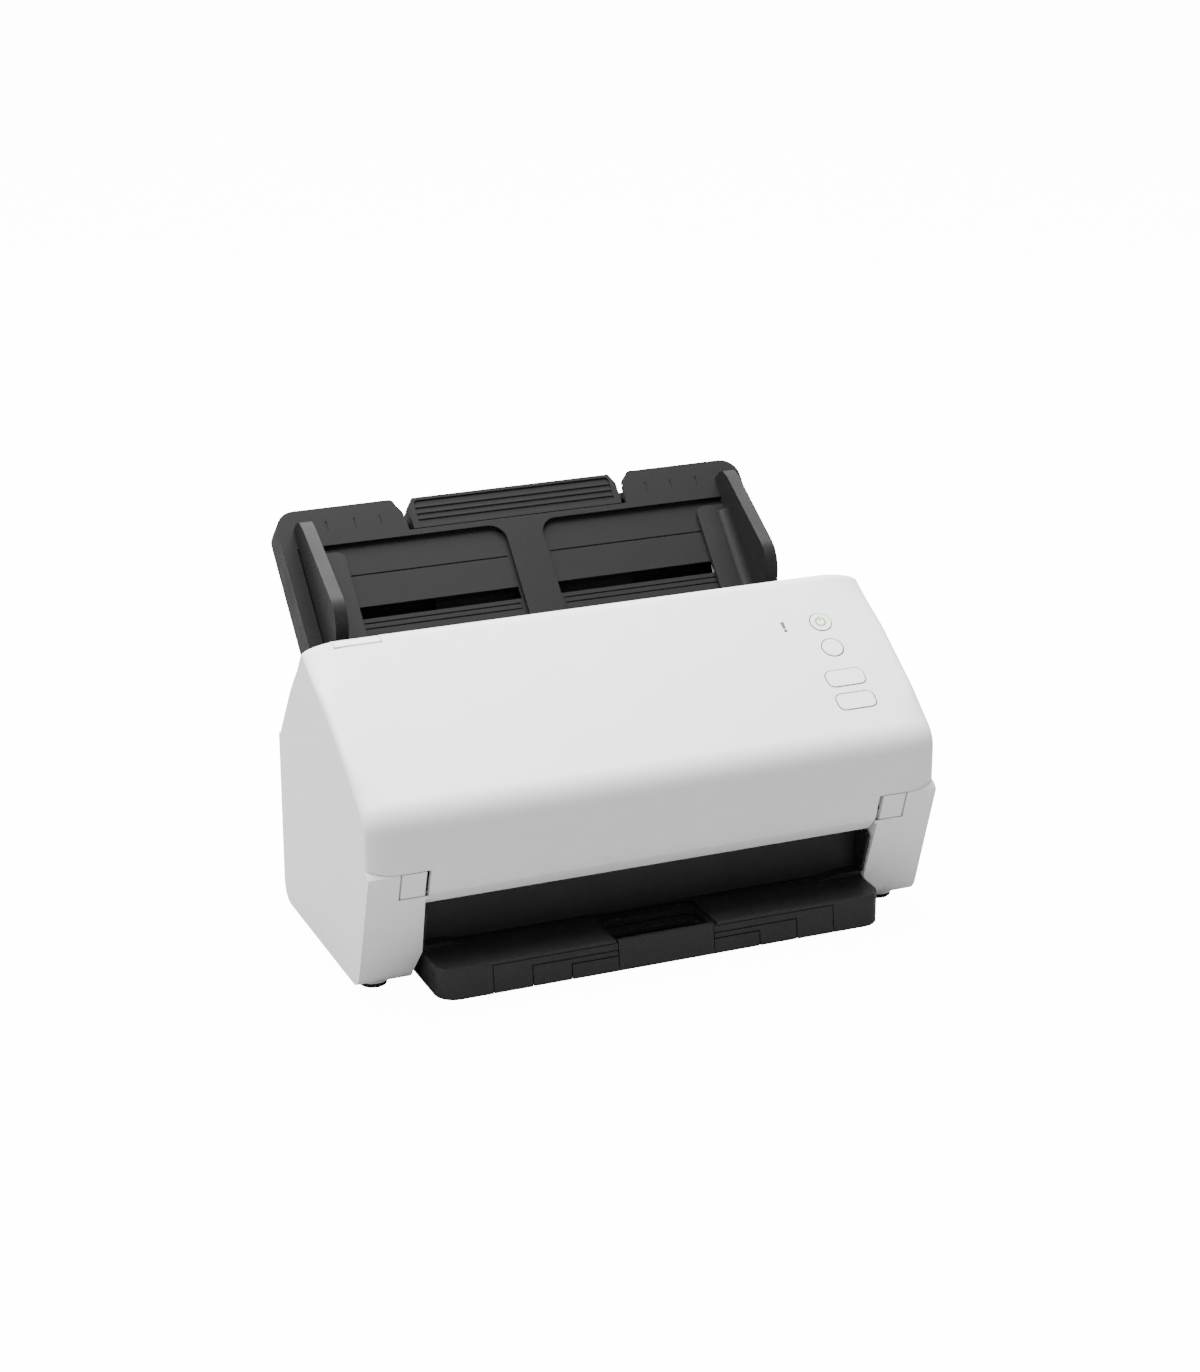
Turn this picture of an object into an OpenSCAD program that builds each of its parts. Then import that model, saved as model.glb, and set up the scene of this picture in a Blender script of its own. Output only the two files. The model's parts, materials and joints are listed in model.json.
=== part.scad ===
// Sheet fed document scanner with a leaning feed tray and a nested exit tray.
// Origin: middle of the footprint, on the surface the feet stand on.
// +X is the right side seen from the front, +Y the back, +Z up. Millimetres.

/* [Body] */
// Width across the two side covers
body_w = 299; // [296:1:302]
// Thickness of the plastic walls
wall = 2.5; // [2:0.1:2.8]
// Slope of the cover's top face
face_angle = 31.2; // [30.5:0.1:32]
// Lean of the lower front, measured from upright
front_lean = 17.74; // [17:0.1:18.5]

/* [Front cover hinge] */
// Radius of the hinge arm's barrel
barrel_r = 7.9; // [7:0.1:8]
// Radius of the hinge pins
pin_r = 3; // [2.5:0.1:3.2]
// Radius that the side covers' shoulders keep inside around the hinge
shoulder_r = 10.6; // [10.4:0.1:10.7]

/* [Feed tray] */
// Width of the tray
tray_w = 258.6; // [257:0.2:259]
// Length of the tray's surface, along its slope
tray_len = 95; // [93:0.5:96]
// Distance down the slope to the foot of the tray's side walls
tray_foot = 111; // [108:1:112]
// Depth of the tray's side walls, square to its surface
tray_depth = 17.5; // [17:0.1:18]
// Half width of the pull-out extension's handle
handle_half_w = 58; // [50:1:58]

/* [Paper guides] */
// Half width between the two fins when they are fully open
guide_open = 114.3; // [110:0.1:114.5]
// Thickness of a fin
fin_t = 6.7; // [5:0.1:6.8]

/* [Drive] */
// Module of the gears
gear_m = 1; // [1:1:1]
// Teeth on each roller gear and idler gear
gear_teeth = 20; // [20:2:20]
// Teeth on the motor pinion
pinion_teeth = 14; // [14:2:16]
// Radius of the rubber tyres on the driven shafts
tyre_r = 8; // [7.5:0.1:8]
// Radius of the steel shafts
shaft_r = 3; // [2.5:0.1:3]

/* [Exit tray] */
// Width of the outermost tray
stacker_w = 235; // [233:0.5:236]
// Length of each nested tray
stage_len = 128; // [110:1:130]
// Gap between nested trays
stage_gap = 0.3; // [0.3:0.05:0.35]

/* [Buttons] */
// Radius of the two round buttons
round_button_r = 5.5; // [5:0.1:5.8]
// Width of the two long buttons
pill_w = 20.4; // [18:0.2:21]
// Height of the two long buttons
pill_h = 9.9; // [8:0.1:10.5]
// Gap around each button
button_gap = 0.45; // [0.3:0.05:0.5]

/* [Hidden] */
$fn = 48;

half_w = body_w / 2;
cut = 1;          // how far a cutting shape runs past what it cuts
seat = 0.1;       // gap between fixed pieces that touch
run_fit = 0.05;   // radial clearance of a turning fit

// Base casing
base_z = 5.5;
rear_y = 37;
part_front_y = -95;
part_front_z = 72.3;
part_slope = 10.2;
front_top_y = -100.1;
front_top_z = 70.6;
lean = tan(front_lean);

// Cover casing
nose_y = -100;
nose_z = 90.6;                   // height of the nose's centre
nose_r = 17;
face_y = -88;                    // where the panel's distances up the slope start
face_z = nose_z + nose_r * cos(face_angle)
    + (face_y - nose_y - nose_r * (1 - sin(face_angle))) * tan(face_angle);
ridge_y = -5;
ridge_z = 156.5;
cheek_y = 38;
cheek_z = 96;
lip_half_w = 118;
ridge_corner = [24, 5.5];        // width and depth of the eased ends of the ridge
front_corner = [16.5, 5.6];      // width and depth of the eased front corners
seam_z = 70.9;

// Front cover hinge
hinge_y = -92;
hinge_z = 63.5;
arm_x0 = 120.2;
arm_x1 = 132.5;
pocket_x1 = 133.4;
pocket_r = 8.3;

// Cover latch
latch_y = -9;
latch_z = 136;

// Paper path: a straight slope from the feed throat to the exit
path_y = 36;
path_z = 122;
path_angle = 33.69;
nip = 0.15;                      // half the gap between two facing tyres
shaft_h = -nip - tyre_r;         // height of a driven shaft, below the path
gear_pitch = gear_m * gear_teeth;
pickup_t = 30;
feed_t = pickup_t + 2 * gear_pitch;
eject_t = feed_t + 2 * gear_pitch;
scan_t = (feed_t + eject_t) / 2;
pinion_h = shaft_h - gear_m * (gear_teeth + pinion_teeth) / 2;

// Side frames and the gear train outside the right one
frame_x0 = 134;
frame_x1 = 136;
gear_x0 = 137;
gear_x1 = 143;
column_x = 119.7;

// Feed tray, on its own slope: x, distance up the slope, height above it
tray_y = 100.5;
tray_z = 189.3;
tray_angle = 45;
rim_len = 21.8;
recess = 2.5;
tray_half = tray_w / 2;
border_x = 121.6;
slot_u0 = -64.4;
slot_u1 = -57.6;
rack_u = -61;
rack_teeth = 16;
rack_r = gear_m * rack_teeth / 2;
rack_top = -3.5;
rack_bottom = -7.5;

// Exit tray
stack_front = -108;
stack_z0 = 5;
stack_top = 21;
STAGE_HALF = [stacker_w / 2, 90.5, 70.3, 50];
STAGE_TOP = [stack_top, 19.3, 15.7, 12.8];
RECESS_BACK = [-73.5, -80.9, -87.6, -94.3];
recess_half = 27;
pull_half = 25.2;

// Panel: places on the cover's face, x and distance up the slope
POWER_AT = [116.2, 64.6];
STOP_AT = [116.1, 47.6];
UPPER_AT = [115.2, 28];
LOWER_AT = [115.1, 13.1];
STATUS_AT = [95.8, 64.6];
button_rise = 0.3;

// ---- functions ----

function arc(c, r, a0, a1, n) =
    [for (i = [0:n]) [c[0] + r * cos(a0 + (a1 - a0) * i / n),
                      c[1] + r * sin(a0 + (a1 - a0) * i / n)]];

function lerp(a, b, k) = a + (b - a) * k;

// Quarter of a squarish ellipse from [w, 0] to [0, d]
function soft_corner(w, d, n) =
    [for (i = [0:n]) let (a = 90 * i / n) [w * pow(cos(a), 0.8), d * pow(sin(a), 0.8)]];

function part_line(y) = part_front_z + (y - part_front_y) * tan(part_slope);

function front_line(z) = front_top_y + (front_top_z - z) * lean;

function inv_deg(r, rb) = let (a = acos(min(1, rb / r))) tan(a) * 180 / PI - a;

function flank(r, rp, rb, half) = half + inv_deg(rp, rb) - inv_deg(r, rb);

// Outline of an involute gear with a tooth on its first axis
function gear_points(n, m) =
    let (rp = n * m / 2, rb = rp * cos(20), tip = rp + 0.95 * m,
         root = rp - 1.25 * m, half = 90 / n - 0.35, r0 = max(rb, root), steps = 3)
    [for (k = [0:n - 1])
        let (c = k * 360 / n)
        each concat(
            [root * [cos(c - flank(r0, rp, rb, half)), sin(c - flank(r0, rp, rb, half))]],
            [for (i = [0:steps])
                let (r = lerp(r0, tip, i / steps), a = c - flank(r, rp, rb, half))
                r * [cos(a), sin(a)]],
            [for (i = [steps:-1:0])
                let (r = lerp(r0, tip, i / steps), a = c + flank(r, rp, rb, half))
                r * [cos(a), sin(a)]],
            [root * [cos(c + flank(r0, rp, rb, half)), sin(c + flank(r0, rp, rb, half))]])];

// ---- helpers ----

// A solid along X from an outline given as [y, z] points
module prism_x(points, x0, x1)
    translate([x0, 0, 0]) rotate([90, 0, 90]) linear_extrude(x1 - x0) polygon(points);

// A solid along Y from an outline given as [x, z] points
module prism_y(points, y0, y1)
    translate([0, y1, 0]) rotate([90, 0, 0]) linear_extrude(y1 - y0) polygon(points);

// A round bar along X
module bar_x(r, x0, x1) translate([x0, 0, 0]) rotate([0, 90, 0]) cylinder(r = r, h = x1 - x0);

// A block given by its lowest and highest corners
module block(a, b) translate(a) cube(b - a);

module both_sides() {
    children();
    mirror([1, 0, 0]) children();
}

// A flat rectangle with round corners
module round_rect(w, h, r) {
    square([w - 2 * r, h], center = true);
    square([w, h - 2 * r], center = true);
    for (sx = [-1, 1], sy = [-1, 1])
        translate([sx * (w / 2 - r), sy * (h / 2 - r)]) circle(r);
}

module on_path(t, h)
    translate([0, path_y, path_z]) rotate([path_angle, 0, 0]) translate([0, -t, h]) children();

module on_tray() translate([0, tray_y, tray_z]) rotate([tray_angle, 0, 0]) children();

module on_face() translate([0, face_y, face_z]) rotate([face_angle, 0, 0]) children();

module at_hinge() translate([0, hinge_y, hinge_z]) children();

module at_latch() translate([0, latch_y, latch_z]) children();

// ---- casing outlines ----

// Base casing seen from the side, drawn in by w, up to a height h above the part line
function base_profile(w, h) = concat(
    arc([rear_y - 10, base_z + 10], 10 - w, 0, -90, 6),
    arc([front_line(base_z + 8) + 9.5, base_z + 9.5], 9.5 - w, -90, -180 + front_lean, 5),
    [[front_line(71) + w, 71],
     [hinge_y - 5 + w, part_line(hinge_y - 5) + h],
     [rear_y - w, part_line(rear_y) + h]]);

// Cover casing above the part line seen from the side, drawn in by w and cut off by d below
function cover_profile(w, d) = concat(
    [[rear_y + 0.6 - w, part_line(rear_y) + 0.5 - d], [cheek_y - w, cheek_z],
     [ridge_y + 5.6 - w, ridge_z - 9]],
    arc([ridge_y - 1.2, ridge_z - 8.3], 7.5 - w, 25, 90 + face_angle, 6),
    arc([nose_y + nose_r, nose_z], nose_r - w, 90 + face_angle, 180, 7),
    [[nose_y + w, seam_z - d], [-96 + w, seam_z - d], [-93.5, part_line(-93.5) + 0.5 - d]]);

// Lip below the nose, between the columns
LIP = [[nose_y, seam_z + 3], [front_line(seam_z), seam_z], [front_line(57), 57], [-87.6, 48.9],
       [-86.2, 49.5], [-86.2, 51.4], [front_line(57) + 2.6, 58.2], [nose_y + 2.6, seam_z + 1],
       [nose_y + 2.6, seam_z + 3]];

// Casing seen from the front: upright sides with eased top corners
function front_outline(w) =
    let (q = soft_corner(ridge_corner[0], ridge_corner[1], 6), x = half_w - ridge_corner[0] - w,
         z = ridge_z + 0.1 - ridge_corner[1] - w)
    concat(
        [[-half_w + w, -cut]],
        [for (i = [0:6]) [-x - q[i][0], z + q[i][1]]],
        [for (i = [6:-1:0]) [x + q[i][0], z + q[i][1]]],
        [[half_w - w, -cut]]);

// Casing seen from above: upright back with eased front corners
function plan_outline(w, front) =
    let (q = soft_corner(front_corner[0], front_corner[1], 6), x = half_w - front_corner[0] - w,
         y = front + front_corner[1] + w)
    concat(
        [[half_w - w, 60]],
        [for (i = [0:6]) [x + q[i][0], y - q[i][1]]],
        [for (i = [6:-1:0]) [-x - q[i][0], y - q[i][1]]],
        [[-half_w + w, 60]]);

module cover_block(w, d) {
    intersection() {
        prism_x(cover_profile(w, d), -half_w + w, half_w - w);
        prism_y(front_outline(w), -120, 60);
        linear_extrude(200) polygon(plan_outline(w, nose_y));
    }
}

// The side covers' shape: the lean of the front carries its eased corners
module base_block(w, h) {
    intersection() {
        prism_x(base_profile(w, h), -half_w + w, half_w - w);
        translate([0, 0, front_top_z]) rotate([-front_lean, 0, 0])
            translate([0, 0, -100]) linear_extrude(160) polygon(plan_outline(w, front_top_y));
    }
}

// ---- front cover ----

module cover_shell() {
    color("whitesmoke") difference() {
        union() {
            difference() {
                cover_block(0, 0);
                cover_block(wall, 20);
            }
            prism_x(LIP, -lip_half_w, lip_half_w);
        }
        // Clear of the side covers' shoulders
        both_sides() bar_x_at(shoulder_r + 0.3, lip_half_w, half_w + cut);
        // Gap in the rear wall where the tray comes in
        prism_x([[-6, 60], [60, 60], [60, 200], [3.4, 200], [3.4, 149], [-6, 141]],
                -tray_half - 1.4, tray_half + 1.4);
        // Openings for the buttons, the status mark and the release lever
        on_face() {
            translate([POWER_AT[0], POWER_AT[1], -8]) cylinder(r = round_button_r + button_gap, h = 16);
            translate([STOP_AT[0], STOP_AT[1], -8]) cylinder(r = round_button_r + button_gap, h = 16);
            for (at = [UPPER_AT, LOWER_AT])
                translate([at[0], at[1], -8]) linear_extrude(16)
                    round_rect(pill_w + 2 * button_gap, pill_h + 2 * button_gap, 3.4 + button_gap);
            translate([STATUS_AT[0], STATUS_AT[1], -8]) linear_extrude(16) status_mark(0.1);
        }
        translate([-134.3, ridge_y - 6, ridge_z - 13]) cube([24.6, 14, 20]);
    }
}

module bar_x_at(r, x0, x1) at_hinge() bar_x(r, x0, x1);

// An exclamation mark: a tapering stroke over a dot
module status_mark(grow) {
    polygon([[-0.6 - grow, -1 - grow], [0.6 + grow, -1 - grow],
             [0.95 + grow, 3.2 + grow], [-0.95 - grow, 3.2 + grow]]);
    translate([0, -2.5]) circle(0.9 + grow);
}

module status_lens() {
    color("black") on_face() {
        translate([STATUS_AT[0], STATUS_AT[1], -2.4]) linear_extrude(2.3) status_mark(0);
    }
}

module cover_inner_frame() {
    x1 = lip_half_w - wall - 0.6;
    color("dimgray") difference() {
        union() {
            // Sole plate along the paper path
            on_path(0, 0) block([-x1, -132, 1], [x1, -9, 3.5]);
            // Side webs up to the cover's skin
            for (s = [-1, 1])
                prism_x([[-79, 55], [-84, 70], [-84, 96], [-12, 144], [-4, 144], [2, 118], [20, 112.5]],
                        s > 0 ? x1 - 2 : -x1, s > 0 ? x1 : 2 - x1);
            // Rear wall, from the ridge down to the feed throat
            prism_x([[-2.6, 145.5], [0.4, 145.5], [11.6, 111], [10.2, 108], [8.4, 108]],
                    -tray_half + 1, tray_half - 1);
            // Cross ribs
            for (t = [20, 50, 116])
                on_path(t, 0) block([-x1, -1, 3], [x1, 1, t == 20 ? 26 : 18]);
            // Roller holders under the lip
            both_sides() on_path(134, 0) block([15.5, -3, 3.4], [46, 5, 7]);
            // Bosses that the hinge arms are fixed to
            both_sides() block([x1 - 1, -84, 78], [x1 + 0.01, -74, 92]);
            // Latch shaft ears
            both_sides() at_latch() block([x1 - 6, -5, -5], [x1 - 1, 5, 5]);
        }
        // Room for the rollers and the upper scan unit
        on_path(pickup_t, 0) block([-30, -10, 0], [30, 10, 20]);
        for (t = [feed_t, eject_t])
            both_sides() on_path(t, 0) block([20, -10, 0], [86, 10, 20]);
        on_path(scan_t, 0) block([-113, -9.5, 0], [113, 9.5, 20]);
        // Room for the control board and the release lever
        on_face() block([84, 4, -12], [132, 77, -6]);
        block([-136, -12, 141], [-108, 8, 160]);
        // Bearings of the undriven rollers and of the latch shaft
        on_path(pickup_t, nip + 7) bar_x(2 + run_fit, -32.5, 32.5);
        on_path(feed_t, nip + 7) bar_x(2 + run_fit, -88.5, 88.5);
        on_path(eject_t, nip + 7) bar_x(2 + run_fit, -88.5, 88.5);
        at_latch() bar_x(2.5 + run_fit, -200, 200);
    }
}

module upper_scan_unit() {
    color("black") on_path(scan_t, 0) difference() {
        block([-112, -9, 2], [112, 9, 17]);
        block([-109, -6, 0], [109, 6, 2.6]);
    }
}

module upper_glass() {
    color("lightblue") on_path(scan_t, 0) block([-112, -9, 1], [112, 9, 1.9]);
}

module hinge_arms() {
    color("whitesmoke") both_sides() difference() {
        intersection() {
            union() {
                bar_x_at(barrel_r, arm_x0, arm_x1);
                prism_x([[-102, hinge_z], [hinge_y + barrel_r, hinge_z], [hinge_y + barrel_r, 92],
                         [-96, 92], [-96, front_top_z], [-102, front_top_z]], arm_x0, arm_x1);
                block([lip_half_w - wall - 0.4, -84.1, 78.5], [arm_x1, -75, 90]);
                block([arm_x0, -88, 76], [arm_x1, -75, 90]);
            }
            prism_x([[front_line(50), 50], [front_line(front_top_z), front_top_z],
                     [nose_y + wall + 0.3, front_top_z + 0.2], [nose_y + wall + 0.3, 120],
                     [0, 120], [0, 50]], 100, 140);
        }
        bar_x_at(pin_r + run_fit, 100, 140);
    }
}

module control_board() {
    color("darkgreen") on_face() difference() {
        block([86, 6, -10.2], [130, 75, -8.6]);
        for (x = [90, 126], s = [10, 71]) translate([x, s, -11]) cylinder(r = 1.6, h = 4);
    }
    color("black") on_face() for (at = [POWER_AT, STOP_AT, UPPER_AT, LOWER_AT])
        translate([at[0] - 3, at[1] - 3, -8.6]) cube([6, 6, 2.2]);
}

module button_stem(at, len) translate([at[0], at[1], -len]) cylinder(r = 1.6, h = len - 1);

module power_button() {
    color("white") on_face() {
        translate([POWER_AT[0], POWER_AT[1], 0]) difference() {
            translate([0, 0, button_rise - 4]) cylinder(r = round_button_r, h = 4);
            translate([0, 0, button_rise - 0.6]) linear_extrude(2) power_mark(0.05);
        }
        button_stem(POWER_AT, 5.3);
    }
}

// A broken ring with a stroke in its gap
module power_mark(grow) {
    difference() {
        circle(2.9 + grow);
        circle(2.1 - grow);
        translate([-0.9 + grow, 0]) square([1.8 - 2 * grow, 4]);
    }
    translate([-0.4 - grow, 0.6 - grow]) square([0.8 + 2 * grow, 2.9 + 2 * grow]);
}

module power_light() {
    color("limegreen") on_face()
        translate([POWER_AT[0], POWER_AT[1], button_rise - 0.6]) linear_extrude(0.6) power_mark(0);
}

module stop_button() {
    color("white") on_face() {
        translate([STOP_AT[0], STOP_AT[1], button_rise - 4]) cylinder(r = round_button_r, h = 4);
        button_stem(STOP_AT, 5.3);
    }
}

module long_button(at) {
    color("white") on_face() {
        translate([at[0], at[1], button_rise - 4]) linear_extrude(4) round_rect(pill_w, pill_h, 3.4);
        button_stem(at, 5.3);
    }
}

module long_button_upper() long_button(UPPER_AT);

module long_button_lower() long_button(LOWER_AT);

// ---- latch, on the cover ----

module latch_hooks() {
    color("silver") at_latch() {
        bar_x(2.5, -128, 128);
        both_sides() difference() {
            union() {
                bar_x(5, 122.5, 126.5);
                prism_x([[-4, 0], [4, 0], [7, -30], [8, -40], [4, -43], [2, -30]], 122.5, 126.5);
            }
            bar_x(2.5, 100, 140);
        }
    }
}

module release_lever() {
    color("whitesmoke") {
        translate([-134, 0, 0]) prism_x(concat([[ridge_y - 5.6, ridge_z - 11.6]],
            [[ridge_y - 5.6, ridge_z - 4]],
            arc([ridge_y - 1.2, ridge_z - 8.3], 7.4, 90 + face_angle, 30, 5),
            [[ridge_y + 5.2, ridge_z - 11.6]]), 0, 24);
        difference() {
            prism_x([[ridge_y - 5, ridge_z - 11.5], [ridge_y, ridge_z - 11.5], [-5, 131], [-13, 131]],
                    -121.5, -117);
            at_latch() bar_x(2.5 + seat, -200, 0);
        }
    }
}

// ---- base casing ----

module side_cover() {
    color("whitesmoke") difference() {
        union() {
            difference() {
                base_block(0, 0);
                difference() {
                    base_block(wall, 8);
                    block([0, -120, 0], [column_x + wall, 60, 200]);
                }
            }
            // Shoulder that follows the hinge, and the hinge pin's seat
            intersection() {
                base_block(0, 8);
                union() {
                    bar_x_at(shoulder_r, pocket_x1, half_w);
                    bar_x_at(pocket_r, pocket_x1, 141);
                }
            }
            // White boss that the foot is set in
            for (y = [-64, 24]) translate([136.8, y, 3]) cylinder(r = 8, h = 4);
        }
        // Only the part right of the column's inner face
        block([-160, -120, 0], [lip_half_w + 0.2, 60, 200]);
        // Inner face of the column leans outward, and opens to the inside behind it
        prism_y([[lip_half_w - 1, 54], [column_x, 54], [lip_half_w + 0.3, 22],
                 [122, 11], [122, 0], [lip_half_w - 1, 0]], -120, 60);
        block([0, -71, base_z + wall], [133, rear_y - wall, 200]);
        block([0, 33, 0], [lip_half_w + 1.2, 60, 200]);
        // Pocket for the hinge arm
        bar_x_at(pocket_r, lip_half_w, pocket_x1);
        block([lip_half_w, -110, hinge_z], [pocket_x1, hinge_y + pocket_r, 90]);
        // Round the shoulder so that the cover's edge passes it
        difference() {
            block([lip_half_w, -110, hinge_z + 3], [160, hinge_y - 2, 90]);
            bar_x_at(shoulder_r, lip_half_w - cut, 161);
        }
        bar_x_at(pin_r + 0.02, 100, 139);
        // Screw and foot holes
        for (y = [-64, 24]) translate([136.8, y, 0]) cylinder(r = 2.5, h = 30);
    }
}

module right_side_cover() side_cover();

module left_side_cover() mirror([1, 0, 0]) side_cover();

module rear_cover() {
    x1 = lip_half_w + 0.9;
    color("whitesmoke") difference() {
        union() {
            block([-x1, rear_y - wall, base_z], [x1, rear_y, 95]);
            block([-x1, 29, base_z], [x1, rear_y, base_z + wall]);
            // Top edge turned in under the tray
            block([-x1, 27, 92.6], [x1, rear_y, 95]);
            // Frame around the sockets
            block([52, rear_y - wall - 3, 24.5], [108, rear_y - wall + 0.1, 48]);
        }
        translate([94, 0, 36]) rotate([-90, 0, 0]) cylinder(r = 5.6, h = 60);
        block([71.7, 0, 29.7], [84.3, 60, 41.3]);
        block([56.2, 0, 31.7], [66.8, 60, 38.3]);
        // Lock slot
        block([-106, 0, 32], [-99, 60, 35]);
        // Cooling slots
        for (x = [13:6:79]) both_sides() block([x, 20, 66], [x + 2.4, 60, 84]);
    }
}

module base_pan() {
    color("dimgray") difference() {
        union() {
            block([-133.6, -73.4, 22.2], [133.6, 34.2, 24.2]);
            // Wall under the exit, with a turned-in top
            block([-lip_half_w, -75.5, 21.6], [lip_half_w, -73.3, 44.5]);
            prism_x([[-75.5, 44.4], [-73.3, 44.4], [-71.8, 48.4], [-73.2, 48.4]], -lip_half_w, lip_half_w);
            both_sides() block([90, -75.5, 21.6], [lip_half_w, -70, 25]);
            // Dark wings that line the columns
            both_sides() prism_x([[-73.5, 24], [-83.5, 24], [-90.2, 45], [-87.5, 47], [-73.5, 47]],
                                 lip_half_w - 1.1, lip_half_w + 0.1);
            // Posts for the main board
            for (x = [14, 110], y = [-40, 24]) translate([x, y, 24]) cylinder(r = 3, h = 3.9);
        }
        for (x = [14, 110], y = [-40, 24]) translate([x, y, 20]) cylinder(r = 1.2, h = 20);
        both_sides() block([lip_half_w + 0.1, -80, 20], [140, -70.7, 30]);
    }
}

module frame_plate() {
    difference() {
        prism_x([[-70, 24.6], [33.5, 24.6], [33.5, 90], [31, 96], [19.5, 110.5], [12, 113],
                 [-8, 100], [-72, 66], [-78, 50], [-70, 42]], frame_x0, frame_x1);
        for (t = [pickup_t, feed_t, eject_t])
            on_path(t, shaft_h) bar_x(5, 100, 160);
        prism_x([[-20, 34], [20, 34], [20, 46], [-20, 46]], 100, 160);
        on_path(feed_t, pinion_h) bar_x(4, 100, 160);
    }
    // Catch that the latch hook holds, and feet folded inward onto the base pan
    block([120.5, 3.5, 93], [frame_x0 + 0.1, 6.5, 95.5]);
    for (y = [-62, 14]) block([124, y, 24.4], [frame_x1, y + 14, 26.4]);
}

module left_frame() color("silver") mirror([1, 0, 0]) frame_plate();

module right_frame() {
    color("silver") {
        frame_plate();
        // Stub axles of the two idler gears
        for (t = [pickup_t + gear_pitch, feed_t + gear_pitch])
            on_path(t, shaft_h) bar_x(2, frame_x1 - 0.5, 144.4);
        // Posts of the gear guard
        for (at = [[22, 40], [-50, 30]])
            translate([0, at[0], at[1]]) bar_x(2.5, frame_x1 - 0.5, 144.9);
    }
}

module gear_guard() {
    color("dimgray") prism_x([[-66, 27], [31, 27], [31, 88], [25, 106], [14, 109.6], [2, 106],
                              [-66, 62], [-69, 50]], 145, 146.2);
}

module hinge_pins() {
    color("silver") both_sides() bar_x_at(pin_r, 120.6, 138.8);
}

module shaft_bushes() {
    color("goldenrod") both_sides() for (t = [pickup_t, feed_t, eject_t])
        on_path(t, shaft_h) difference() {
            union() {
                bar_x(4.98, frame_x0 - 1.5, frame_x1 + 0.4);
                bar_x(6.2, frame_x0 - 1.5, frame_x0 - 0.05);
            }
            bar_x(shaft_r + run_fit, 100, 160);
        }
}

module lower_guide_plate() {
    color("dimgray") difference() {
        union() {
            on_path(0, 0) block([-117, -127, -3], [117, -6, -0.6]);
            both_sides() on_path(0, 0) block([115, -127, -12], [117, -6, -0.6]);
            for (t = [12, 48, 124])
                on_path(t, 0) block([-117, -1, -9], [117, 1, -2.9]);
            // Raised ribs that carry the paper
            for (x = [-100, -50, -2, 50, 100])
                on_path(0, 0) block([x - 0.6, -60, -0.7], [x + 0.6, -44, -0.4]);
        }
        on_path(pickup_t, 0) block([-34, -9.5, -20], [34, 9.5, 5]);
        for (t = [feed_t, eject_t])
            both_sides() on_path(t, 0) block([18, -9.5, -20], [88, 9.5, 5]);
        on_path(scan_t, 0) block([-112.4, -9.4, -20], [112.4, 9.4, 5]);
        for (t = [pickup_t, feed_t, eject_t])
            on_path(t, shaft_h) bar_x(shaft_r + 1, -200, 200);
    }
}

module lower_scan_unit() {
    color("black") on_path(scan_t, 0) difference() {
        block([-112, -9, -16], [112, 9, -1.6]);
        block([-109, -6, -2.2], [109, 6, 0]);
    }
}

module lower_glass() {
    color("lightblue") on_path(scan_t, 0) block([-112, -9, -1.5], [112, 9, -0.6]);
}

module rubber_feet() {
    color("black") both_sides() for (y = [-64, 24]) translate([136.8, y, 0]) {
        rotate_extrude() polygon(concat([[0, 0]], arc([6, 1], 1, -90, 0, 3), [[7, 2.9], [0, 2.9]]));
        cylinder(r = 2.4, h = 8);
    }
}

module main_board() {
    color("darkgreen") difference() {
        block([8, -46, 28], [116, 30, 29.6]);
        for (x = [14, 110], y = [-40, 24]) translate([x, y, 20]) cylinder(r = 1.6, h = 20);
    }
    color("black") {
        block([40, -20, 29.6], [58, -2, 31.4]);
        block([66, -24, 29.6], [78, -12, 31]);
        block([20, 2, 29.6], [30, 20, 33]);
    }
    for (x = [14, 22, 30]) color("silver") translate([x, -30, 29.6]) cylinder(r = 3, h = 9);
}

module power_jack() {
    color("black") difference() {
        union() {
            block([88, 18, 30], [100, 30.5, 41.5]);
            translate([94, 18, 36]) rotate([-90, 0, 0]) cylinder(r = 5.4, h = rear_y - 18.4);
        }
        translate([94, 22, 36]) rotate([-90, 0, 0]) cylinder(r = 3.2, h = 40);
    }
    color("silver") translate([94, 21, 36]) rotate([-90, 0, 0]) cylinder(r = 1, h = 13);
}

module usb_ports() {
    color("silver") {
        difference() {
            block([72, 20, 30], [84, rear_y - 0.8, 41]);
            block([73, 22, 31], [83, 60, 40]);
        }
        difference() {
            block([56.5, 20, 32], [66.5, rear_y - 0.8, 38]);
            block([57.3, 22, 32.8], [65.7, 60, 37.2]);
        }
    }
    color("black") {
        block([75, 21, 33.5], [81, 34, 37.5]);
        block([59, 21, 34.4], [64, 34, 35.6]);
    }
}

module motor() {
    color("silver") on_path(feed_t, pinion_h) difference() {
        union() {
            bar_x(12.5, 92, 131);
            bar_x(3.9, 131, frame_x1 + 0.2);
            block([131, -16, -12], [frame_x0 - 0.1, 12, 10.2]);
        }
        bar_x(1.5 + run_fit, 110, 160);
    }
}

module case_screws() {
    color("dimgray") {
        both_sides() for (z = [14, 86]) translate([112, rear_y + 0.01, z]) rotate([-90, 0, 0]) difference() {
            cylinder(r = 3.2, h = 0.8);
            for (a = [0, 90]) rotate([0, 0, a]) translate([-2, -0.4, 0.3]) cube([4, 0.8, 2]);
        }
    }
}

// ---- driven shafts ----

module shaft(t) color("silver") on_path(t, shaft_h) bar_x(shaft_r, -138, 144.4);

module tyres(t, xs, len) {
    color("dimgray") on_path(t, shaft_h) for (x = xs) difference() {
        bar_x(tyre_r, x, x + len);
        bar_x(shaft_r + 0.01, x - cut, x + len + cut);
    }
}

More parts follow.
